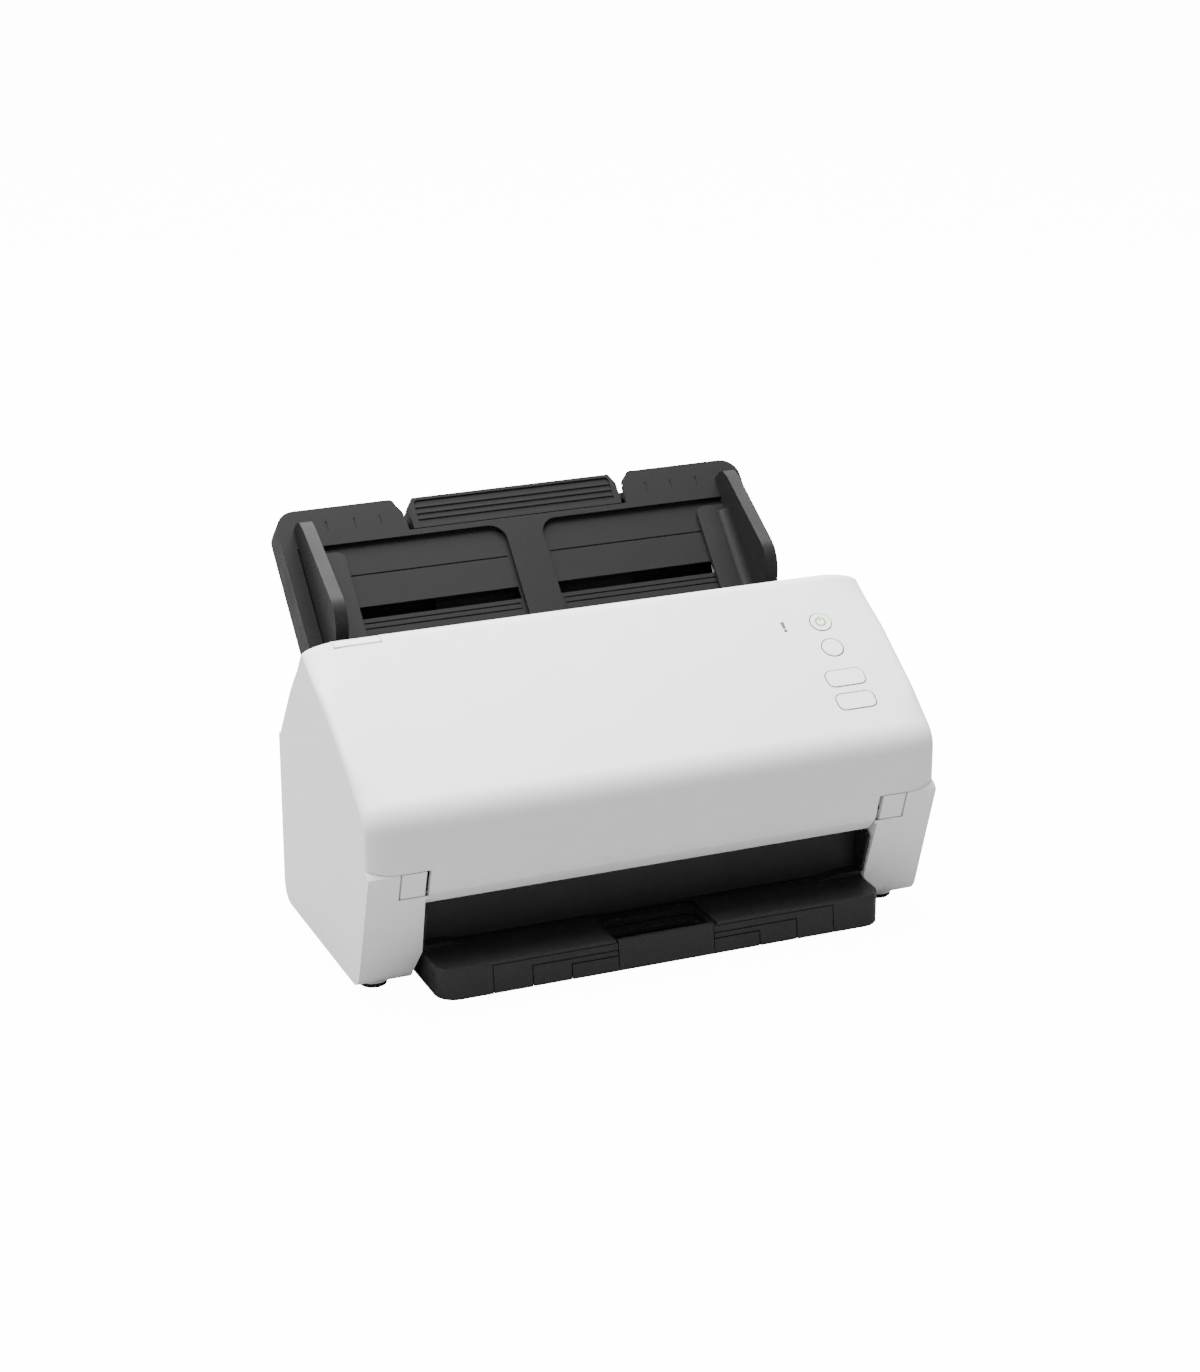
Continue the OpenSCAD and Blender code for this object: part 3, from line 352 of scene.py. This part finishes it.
# How far each node's edges are eased, in millimetres
EDGES = {
    "hinge_arms": 0.5, "control_board": 0.15, "status_lens": 0.1, "release_lever": 0.8,
    "latch_hooks": 0.3, "power_button": 0.45, "power_light": 0.08, "stop_button": 0.45,
    "long_button_upper": 0.45, "long_button_lower": 0.45, "separation_roller": 0.4,
    "feed_pinch_rollers": 0.4, "eject_pinch_rollers": 0.4, "left_side_cover": 1.6,
    "right_side_cover": 1.6, "rear_cover": 0.5, "base_pan": 0.4, "left_frame": 0.2,
    "right_frame": 0.2, "lower_guide_plate": 0.25, "lower_scan_unit": 0.3, "lower_glass": 0.15,
    "upper_scan_unit": 0.3, "upper_glass": 0.15, "cover_inner_frame": 0.4, "feed_tray": 0.6,
    "tray_back": 0.4, "stacker_base": 0.5, "rubber_feet": 0.3, "main_board": 0.15, "motor": 0.4,
    "power_jack": 0.25, "usb_ports": 0.15, "hinge_pins": 0.3, "shaft_bushes": 0.2,
    "gear_guard": 0.3, "case_screws": 0.15, "tray_extension": 0.5, "tray_extension_tip": 0.5,
    "left_guide": 0.9, "right_guide": 0.9, "left_rack": 0.12, "right_rack": 0.12,
    "guide_pinion": 0.1, "stacker_stage_2": 0.35, "stacker_stage_3": 0.35,
    "stacker_stage_4": 0.35, "pickup_shaft": 0.3, "pickup_tyres": 0.4, "pickup_gear": 0.1,
    "feed_shaft": 0.3, "feed_tyres": 0.4, "feed_gear": 0.1, "eject_shaft": 0.3,
    "eject_tyres": 0.4, "eject_gear": 0.1, "idler_gear_upper": 0.1, "idler_gear_lower": 0.1,
    "motor_pinion": 0.08,
}

# ---- the front cover's skin ----

# Side view of the cover in millimetres, y and z. The sizes repeat those in part.scad.
# With REAR_FOOT and SEAM_FRONT each 0.2 higher, the cuts left no shell. Why wasn't found.
FACE_ANGLE = 31.2
WALL = 2.5
RIDGE_CENTRE, RIDGE_R = (-6.2, 148.2), 7.5
NOSE_CENTRE, NOSE_R = (-83.0, 90.6), 17.0
REAR_FOOT = (37.8, 96.6)
NOSE_FOOT = (-100.0, 70.9)
SEAM_STEP = 1.2     # how soon behind the nose the seam rises to its slope
SEAM_FRONT = (-93.5, 73.1)
ARC_STEPS, REAR_STEPS, FACE_STEPS, FRONT_STEPS = 12, 6, 24, 3
HOLE_POINTS, DOT_POINTS, CORNER_STEPS = 48, 12, 6

# Width and depth of the easing at the sides, and where it changes from one to the next
SIDE_CORNER, RIDGE_CORNER, NOSE_CORNER = (3.6, 3.6), (24.0, 5.5), (16.5, 5.6)
RIDGE_Y, RIDGE_Z, NOSE_Y = (-40, -12), (128, 146), (-70, -97)

# How far in from each side the cover's cross sections stand
FROM_SIDE = [0, 0.03, 0.12, 0.3, 0.6, 1.0, 1.6, 2.5, 3.6, 5, 7, 9.5, 12.5, 16.5, 20, 24, 50, 100]

HINGE = (-92.0, 63.5)
SHOULDER_R, SHOULDER_POINTS, SHOULDER_FIRST = 11.0, 60, 2
PAST_SIDE = 150.5
LIP_HALF = 118.0
LIP = [(-99.9, 74.2), (-99.9, 71.2), (-95.8, 57.6), (-95.2, 56.4), (-88.1, 49.2), (-87.4, 48.95),
       (-86.5, 49.4), (-86.2, 50.2), (-86.2, 51.4), (-93.2, 58.2), (-97.4, 72.2), (-97.4, 74.2)]

# Openings seen from the side, y and z, with where they start and end across the cover
LEVER_SLOT = [(-11, 143.5), (3, 143.5), (3, 163.5), (-11, 163.5)]
LEVER_SPAN = (-134.35, -109.65)
TRAY_OPENING = [(-6, 60), (60, 60), (60, 200), (3.4, 200), (3.4, 149), (-6, 141)]
TRAY_SPAN = (-130.7, 130.7)

# The button panel: millimetres across the sloping face, and up it from PANEL_START
PANEL_START = (0, -88, 107.45)
ON_FACE = (Matrix.Translation(Vector(PANEL_START) * MM)
           @ Matrix.Rotation(math.radians(FACE_ANGLE), 4, "X"))
ALONG_SIDE = Matrix(((0, 0, 1, 0), (1, 0, 0, 0), (0, 1, 0, 0), (0, 0, 0, 1)))
CUT_DEPTH = 8
BUTTON_GAP = 0.55
# The dark rings in the button gaps are painted shade: their clearance, their depth below the
# face, and the depth of the hole through them
GAP_SHADE_SLACK, GAP_SHADE_SPAN, GAP_SHADE_HOLE_SPAN = 0.02, (-2.5, -0.12), (-4, 2)
ROUND_BUTTONS = [((116.2, 64.6), 5.5), ((116.1, 47.6), 5.5)]
LONG_BUTTONS = [(115.2, 28), (115.1, 13.1)]
LONG_SIZE, LONG_RADIUS = (20.4, 9.9), 3.4
STATUS_AT = (95.8, 64.6)
STATUS_BAR = [(-0.7, -1.1), (0.7, -1.1), (1.05, 3.3), (-1.05, 3.3)]
STATUS_DOT, STATUS_DOT_R = (0, -2.5), 1.0

LEAST_COVER_FACES = 1000
PLAIN_COVER_EDGE = 1.2


def ring(centre, radius, first, last, steps):
    """Points on an arc, from one angle in degrees to another."""
    angles = [math.radians(first + (last - first) * k / steps) for k in range(steps + 1)]
    return [(centre[0] + radius * math.cos(a), centre[1] + radius * math.sin(a)) for a in angles]


def circle(centre, radius, count, first=0):
    """Points all the way round."""
    return ring(centre, radius, first, first + 360 - 360 / count, count - 1)


def between(first, last, steps):
    """Points inside the straight line from first to last, without its ends."""
    return [tuple(a + (b - a) * k / steps for a, b in zip(first, last)) for k in range(1, steps)]


def blend(low, high, value):
    """0 below low, 1 above high, and a smooth step between them."""
    k = min(1.0, max(0.0, (value - low) / (high - low)))
    return k * k * (3 - 2 * k)


def mixed(first, second, k):
    return tuple(a + (b - a) * k for a, b in zip(first, second))


def cover_side_view():
    """Points of the cover's side view from its rear foot to the seam below its nose."""
    reach = Vector(REAR_FOOT) - Vector(RIDGE_CENTRE)
    rear_angle = math.degrees(math.acos(RIDGE_R / reach.length) + math.atan2(reach.y, reach.x))
    ridge = ring(RIDGE_CENTRE, RIDGE_R, rear_angle, 90 + FACE_ANGLE, ARC_STEPS)
    nose = ring(NOSE_CENTRE, NOSE_R, 90 + FACE_ANGLE, 180, ARC_STEPS)
    return ([REAR_FOOT] + between(REAR_FOOT, ridge[0], REAR_STEPS) + ridge
            + between(ridge[-1], nose[0], FACE_STEPS) + nose
            + between(nose[-1], NOSE_FOOT, FRONT_STEPS) + [NOSE_FOOT])


def corner_at(y, z):
    """Width and depth of the easing at the sides, at one point of the side view."""
    toward_ridge = blend(*RIDGE_Y, y) * blend(*RIDGE_Z, z)
    toward_nose = blend(*NOSE_Y, y)
    return mixed(mixed(SIDE_CORNER, RIDGE_CORNER, toward_ridge), NOSE_CORNER, toward_nose)


def inward(points):
    """The direction square to the side view, into the cover, at each of its points."""
    ways = []
    for k in range(len(points)):
        before, after = points[max(0, k - 1)], points[min(len(points) - 1, k + 1)]
        way = Vector((after[0] - before[0], after[1] - before[1])).normalized()
        ways.append(Vector((-way.y, way.x)))
    ways[-1] = Vector((1, 0))
    slope = Vector(REAR_FOOT) - Vector(SEAM_FRONT)
    slope.normalize()
    ways[0] = -slope / abs(ways[0].dot(slope))
    return ways


def cover_mesh():
    """The hollow cover, open below: two skins, two ends and the rim that joins them."""
    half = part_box("cover_shell")[1][0] / MM
    stations = [-half + d for d in FROM_SIDE] + [0] + [half - d for d in reversed(FROM_SIDE)]
    points = cover_side_view()
    ways = inward(points)
    work = bmesh.new()

    def row(x, thickness):
        made = []
        for (y, z), way in zip(points, ways):
            width, depth = corner_at(y, z)
            t = max(0.0, 1 - (half - abs(x)) / width)
            inset = depth * (1 - math.sqrt(max(0.0, 1 - t * t))) + thickness
            made.append(work.verts.new((x * (half - thickness) / half * MM,
                                        (y + way.x * inset) * MM, (z + way.y * inset) * MM)))
        return made

    outer = [row(x, 0) for x in stations]
    inner = [row(x, WALL) for x in stations]
    last = len(points) - 1
    for grid, flip in ((outer, False), (inner, True)):
        for a, b in zip(grid, grid[1:]):
            for k in range(last):
                quad = [a[k], b[k], b[k + 1], a[k + 1]]
                work.faces.new(quad[::-1] if flip else quad)
    for k in range(len(stations) - 1):
        work.faces.new([outer[k][0], inner[k][0], inner[k + 1][0], outer[k + 1][0]])
        work.faces.new([outer[k + 1][last], inner[k + 1][last], inner[k][last], outer[k][last]])
    rise = (REAR_FOOT[1] - SEAM_FRONT[1]) / (REAR_FOOT[0] - SEAM_FRONT[0])
    for end in (0, -1):
        chains = []
        for grid in (outer, inner):
            foot = grid[end][last].co
            y = foot.y + SEAM_STEP * MM
            z = SEAM_FRONT[1] * MM + (y - SEAM_FRONT[0] * MM) * rise
            step = work.verts.new((foot.x, y, z))
            chains.append([grid[end][last], step, grid[end][0]])
            work.faces.new([*grid[end], step])
        for k in range(2):
            work.faces.new([chains[0][k], chains[0][k + 1], chains[1][k + 1], chains[1][k]])
    bmesh.ops.recalc_face_normals(work, faces=work.faces)
    mesh = bpy.data.meshes.new("cover")
    work.to_mesh(mesh)
    work.free()
    return mesh


def extruded(points, low, high, place):
    """A solid from an outline in millimetres, standing on it from low to high."""
    work = bmesh.new()
    rings = [[work.verts.new(place @ (Vector((a, b, level)) * MM)) for a, b in points]
             for level in (low, high)]
    count = len(points)
    for k in range(count):
        work.faces.new([rings[0][k], rings[0][(k + 1) % count], rings[1][(k + 1) % count],
                        rings[1][k]])
    work.faces.new(rings[0][::-1])
    work.faces.new(rings[1])
    bmesh.ops.recalc_face_normals(work, faces=work.faces)
    mesh = bpy.data.meshes.new("extruded")
    work.to_mesh(mesh)
    work.free()
    return mesh


def scratch(mesh):
    """An object to cut or be cut, which is removed afterwards."""
    made = bpy.data.objects.new(mesh.name, mesh)
    bpy.context.scene.collection.objects.link(made)
    return made


def long_outline(at, grow):
    """Outline of a long button, drawn out by grow."""
    half_w, half_h = (size / 2 - LONG_RADIUS for size in LONG_SIZE)
    corners = [(1, 1, 0), (-1, 1, 90), (-1, -1, 180), (1, -1, 270)]
    return [point for sx, sy, first in corners
            for point in ring((at[0] + sx * half_w, at[1] + sy * half_h), LONG_RADIUS + grow,
                              first, first + 90, CORNER_STEPS)]


def cover_cuts():
    """Everything that is cut out of the cover, in the order in which it is cut."""
    x, up = STATUS_AT
    on_face = [circle(at, radius + BUTTON_GAP, HOLE_POINTS) for at, radius in ROUND_BUTTONS]
    on_face += [long_outline(at, BUTTON_GAP) for at in LONG_BUTTONS]
    on_face.append([(x + dx, up + dy) for dx, dy in STATUS_BAR])
    on_face.append(circle((x + STATUS_DOT[0], up + STATUS_DOT[1]), STATUS_DOT_R,
                          DOT_POINTS))
    shoulder = circle(HINGE, SHOULDER_R, SHOULDER_POINTS, SHOULDER_FIRST)
    from_side = [(LEVER_SLOT, LEVER_SPAN), (TRAY_OPENING, TRAY_SPAN),
                 (shoulder, (-PAST_SIDE, -LIP_HALF)), (shoulder, (LIP_HALF, PAST_SIDE))]
    cuts = [extruded(outline, -CUT_DEPTH, CUT_DEPTH, ON_FACE) for outline in on_face]
    cuts += [extruded(outline, *span, ALONG_SIDE) for outline, span in from_side]
    return [scratch(mesh) for mesh in cuts]


def difference(cut):
    """The boolean that takes one object away, for baked."""
    return ("BOOLEAN", {"operation": "DIFFERENCE", "object": cut, "solver": "EXACT"})


def add_button_gap_shade():
    """Dark rings in the gaps around the buttons: painted shade, standing in for the shade in the
    gaps.
    """
    outlines = [(circle(at, radius + BUTTON_GAP - GAP_SHADE_SLACK, HOLE_POINTS),
                 circle(at, radius + GAP_SHADE_SLACK, HOLE_POINTS)) for at, radius in ROUND_BUTTONS]
    outlines += [(long_outline(at, BUTTON_GAP - GAP_SHADE_SLACK), long_outline(at, GAP_SHADE_SLACK))
                 for at in LONG_BUTTONS]
    for k, (outer, inner) in enumerate(outlines):
        hole = scratch(extruded(inner, *GAP_SHADE_HOLE_SPAN, ON_FACE))
        mesh = baked(scratch(extruded(outer, *GAP_SHADE_SPAN, ON_FACE)), [difference(hole)])
        bpy.data.objects.remove(hole)
        smooth_by_angle(mesh)
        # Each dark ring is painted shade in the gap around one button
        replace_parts(add_piece(f"button_gap_shade_{k + 1}", mesh, "cover_inner_frame"),
                    "cover_inner_frame")


def add_cover():
    cuts = cover_cuts()
    shell = baked(scratch(cover_mesh()), [difference(cut) for cut in cuts])
    for cut in cuts:
        bpy.data.objects.remove(cut)
    if len(shell.polygons) < LEAST_COVER_FACES:
        # The cuts left no shell, so the cover keeps its plain CAD shape
        eased("cover_shell", PLAIN_COVER_EDGE)
        return
    smooth_by_angle(shell)
    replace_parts(add_piece("cover_shell_look", weighted(shell), "cover_shell"), "cover_shell")
    lip = extruded(LIP, -LIP_HALF, LIP_HALF, ALONG_SIDE)
    smooth_by_angle(lip)
    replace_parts(add_piece("cover_lip_look", weighted(lip), "cover_shell"), "cover_shell")


add_camera()
add_studio()
for node, width in EDGES.items():
    eased(node, width)
add_cover()
add_button_gap_shade()
